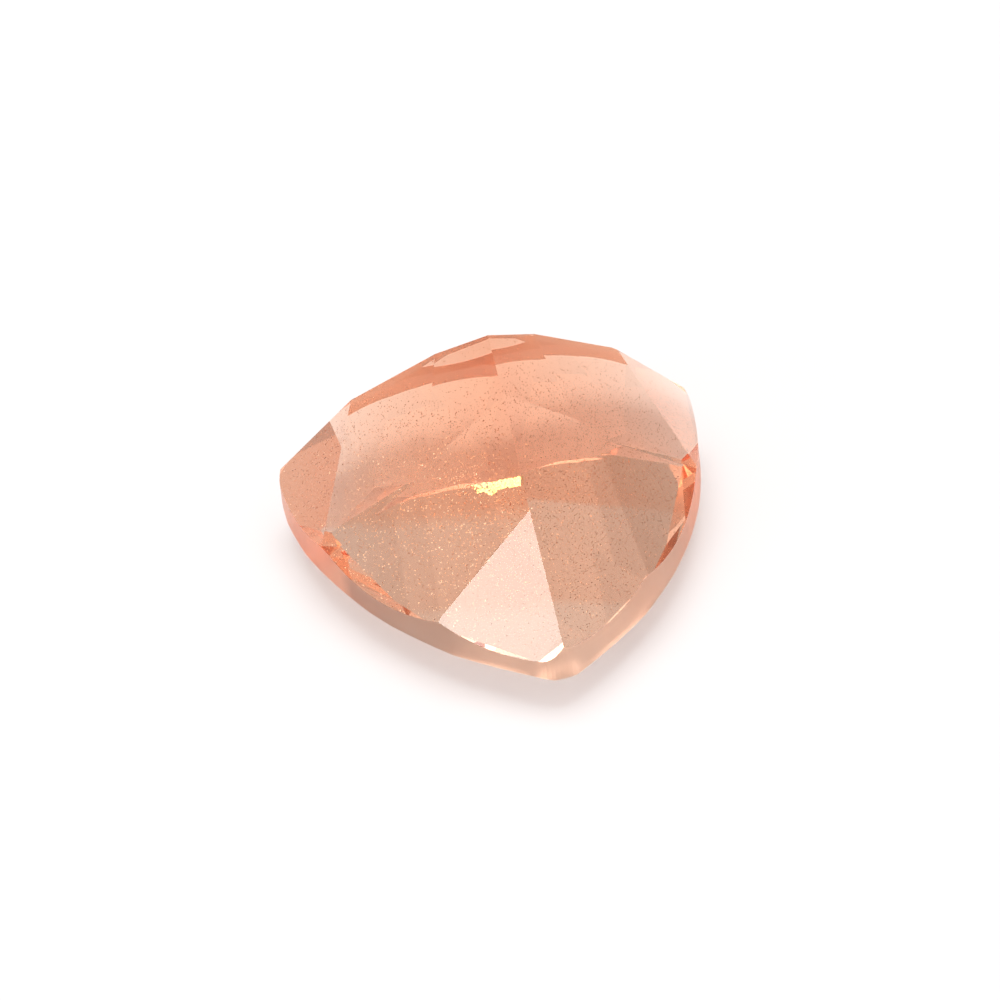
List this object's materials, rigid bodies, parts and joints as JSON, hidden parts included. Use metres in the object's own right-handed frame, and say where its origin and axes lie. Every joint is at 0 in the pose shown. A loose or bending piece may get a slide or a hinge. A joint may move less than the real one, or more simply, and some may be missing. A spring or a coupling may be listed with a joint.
{
  "type": "faceted sunstone gem",
  "caption": "Loose see-through gemstone cut as a rounded triangle, resting on its table with the pointed pavilion up.",
  "frame": {"origin": "middle of the table, the large flat facet that the stone rests on", "axes": "+Z from the table up the stone's axis to the culet; -Y towards the front corner"},
  "size_m": [0.0102, 0.0101, 0.0069],
  "materials": {
    "sunstone": "polished, see-through salmon orange with a faint copper glitter"
  },
  "bodies": {
    "root": {"sunstone": "sunstone"}
  },
  "joints": []
}
